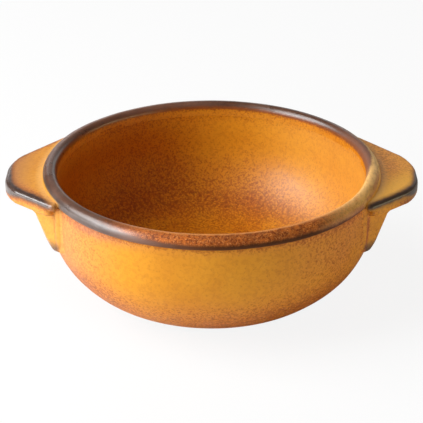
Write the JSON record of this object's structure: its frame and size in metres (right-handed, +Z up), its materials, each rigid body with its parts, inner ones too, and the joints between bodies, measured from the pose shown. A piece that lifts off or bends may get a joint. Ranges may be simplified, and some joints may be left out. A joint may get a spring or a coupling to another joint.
{
  "type": "clay pot",
  "caption": "Open round stoneware pot with a rolled lip, a foot ring and two wide lug handles luted to the wall.",
  "frame": {"origin": "on the table under the middle of the pot", "axes": "+Z up through the mouth, X through both lug handles, -Y towards the viewer of the picture"},
  "size_m": [0.2012, 0.165, 0.066],
  "materials": {
    "amber_glaze": "satin, iron speckled",
    "iron_brown_glaze": "satin",
    "bare_clay": "unglazed, matt"
  },
  "bodies": {
    "root": {"bowl_body": "amber_glaze", "rolled_lip": "iron_brown_glaze", "foot_ring": "bare_clay", "right_lug_handle": "amber_glaze", "right_slip_bed": "amber_glaze", "left_lug_handle": "amber_glaze", "left_slip_bed": "amber_glaze"}
  },
  "joints": []
}
